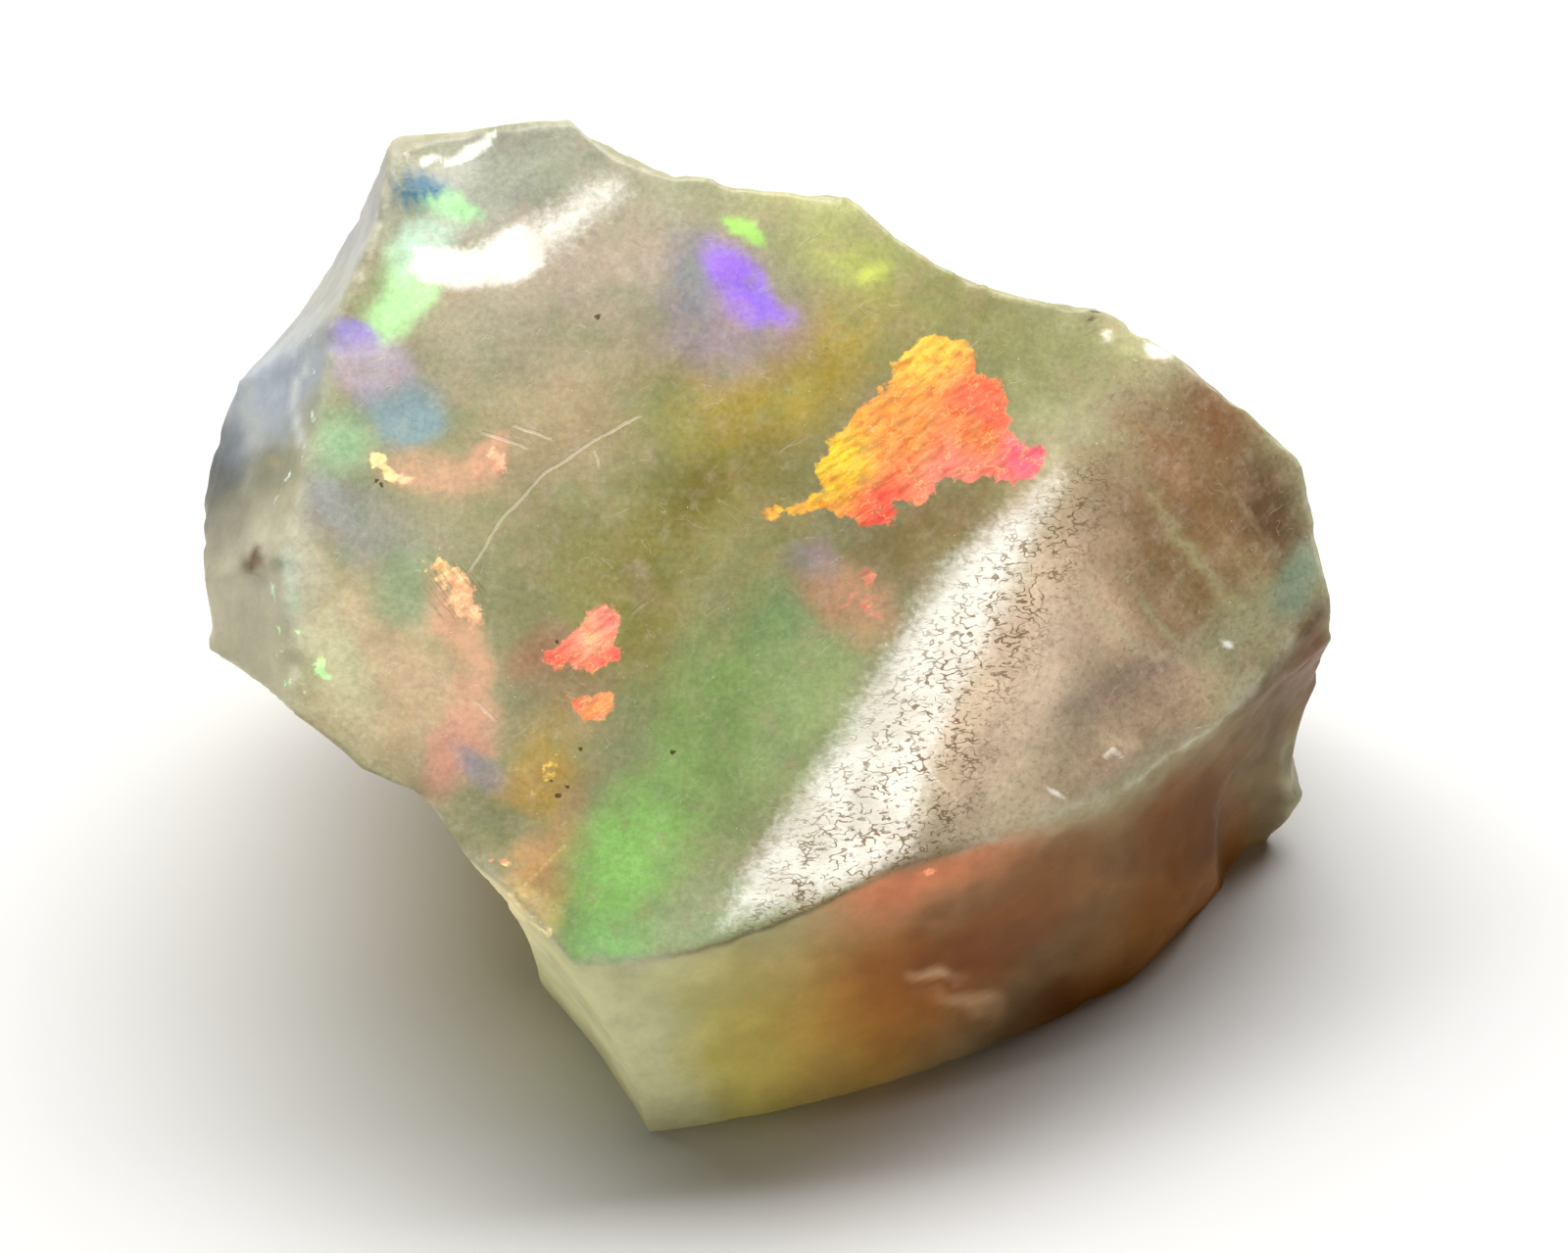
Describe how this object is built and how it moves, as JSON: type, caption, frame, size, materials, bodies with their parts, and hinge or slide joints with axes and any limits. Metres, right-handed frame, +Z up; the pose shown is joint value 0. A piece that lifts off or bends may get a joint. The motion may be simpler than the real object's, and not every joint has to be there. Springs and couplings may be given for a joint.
{
  "type": "rough opal stone",
  "caption": "Piece of rough precious opal, broken and unpolished, with a broad face, a trough, chipped rims and a flat break to stand on.",
  "frame": {"origin": "middle of the stone's outline, on the level that it stands on", "axes": "+Z up; the broad face leans back 35 degrees and faces -Y and up; +X runs to the viewer's right along it, which is the longest way through the stone"},
  "size_m": [0.0186, 0.0128, 0.0123],
  "materials": {
    "opal": "cloudy, waxy, broken and unpolished"
  },
  "bodies": {
    "root": {"opal": "opal"}
  },
  "joints": []
}
